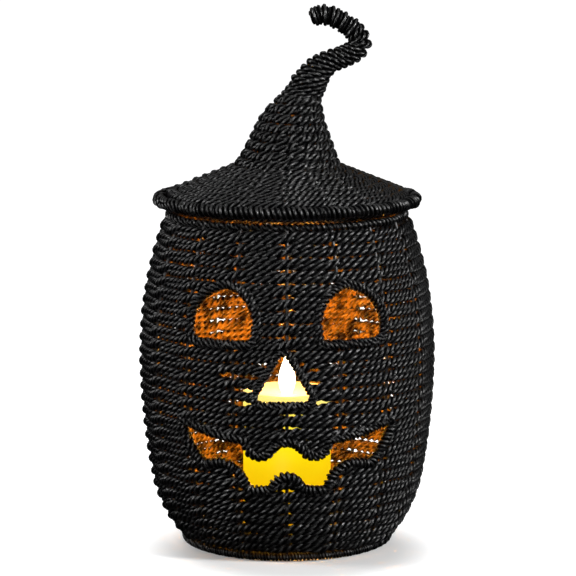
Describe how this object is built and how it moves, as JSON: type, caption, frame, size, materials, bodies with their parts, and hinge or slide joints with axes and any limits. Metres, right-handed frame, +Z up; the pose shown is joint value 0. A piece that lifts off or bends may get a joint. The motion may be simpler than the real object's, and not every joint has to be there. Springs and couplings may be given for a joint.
{
  "type": "woven pumpkin lantern",
  "caption": "Lidded jack-o'-lantern basket twined from twisted cord over wire ribs, with an open face, a curled stem and a battery pillar candle inside.",
  "frame": {"origin": "on the ground, at the foot of the lantern's axis", "axes": "+Z up through the basket, -Y out of the face, +X to the face's left hand as the viewer's right"},
  "size_m": [0.2566, 0.2565, 0.4652],
  "materials": {
    "black_cord": "twisted cord, satin, near black",
    "black_wire": "black lacquered wire",
    "candle_wax": "yellow wax, lit from inside",
    "flame": "translucent, lit from inside",
    "candle_plastic": "moulded, fine texture",
    "contact_metal": "plated strip",
    "cell_sleeve": "shrink sleeve",
    "circuit_board": "solder mask",
    "lamp_lens": "cast epoxy"
  },
  "bodies": {
    "lantern": {"base_hoop": "black_wire", "base_ring_binding": "black_cord", "floor_cross": "black_wire", "floor_weave": "black_cord", "top_hoop": "black_wire", "top_ring_binding": "black_cord", "weave_heel": "black_cord", "weave_mouth": "black_cord", "weave_cheeks": "black_cord", "weave_eyes": "black_cord", "weave_shoulder": "black_cord", "left_eye_wire": "black_wire", "left_eye_binding": "black_cord", "right_eye_wire": "black_wire", "right_eye_binding": "black_cord", "nose_wire": "black_wire", "nose_binding": "black_cord", "mouth_wire": "black_wire", "mouth_binding": "black_cord", "body_rib_01": "black_wire", "body_rib_02": "black_wire", "body_rib_03": "black_wire", "body_rib_04": "black_wire", "body_rib_05": "black_wire", "body_rib_06": "black_wire", "body_rib_07": "black_wire", "body_rib_08": "black_wire", "body_rib_09": "black_wire", "body_rib_10": "black_wire", "body_rib_11": "black_wire", "body_rib_12": "black_wire", "body_rib_13": "black_wire", "body_rib_14": "black_wire", "body_rib_15": "black_wire", "body_rib_16": "black_wire", "body_rib_17": "black_wire"},
    "lid": {"lid_rim_hoop": "black_wire", "lid_rim_binding": "black_cord", "lid_seat_hoop": "black_wire", "lid_seat_binding": "black_cord", "lid_brim_weave": "black_cord", "lid_peak_weave": "black_cord", "lid_ribs": "black_wire", "stem_wire": "black_wire", "stem_binding": "black_cord"},
    "candle": {"candle_shell": "candle_wax", "candle_flame": "flame", "candle_base": "candle_plastic", "battery_tube": "candle_plastic", "battery_cell_1": "cell_sleeve", "battery_cell_2": "cell_sleeve", "contact_springs": "contact_metal", "circuit_board": "circuit_board", "board_screws": "contact_metal", "lamp_stalk": "candle_plastic", "led_lamp": "lamp_lens", "switch_body": "candle_plastic"},
    "battery_cover": {"battery_cover": "candle_plastic", "cover_contact": "contact_metal"},
    "switch_knob": {"switch_knob": "candle_plastic"}
  },
  "joints": [
    {"name": "lid_lift", "type": "slide", "parent": "lantern", "child": "lid", "axis": [0, 0, 1], "range_m": [0, 0.26]},
    {"name": "candle_lift", "type": "slide", "parent": "lantern", "child": "candle", "axis": [0, 0, 1], "range_m": [0, 0.15]},
    {"name": "cover_turn", "type": "hinge", "parent": "candle", "child": "battery_cover", "pos_m": [0, 0, 0.01], "axis": [0, 0, 1], "range_deg": [0, 45]},
    {"name": "switch_slide", "type": "slide", "parent": "candle", "child": "switch_knob", "axis": [1, 0, 0], "range_m": [0, 0.003]}
  ]
}
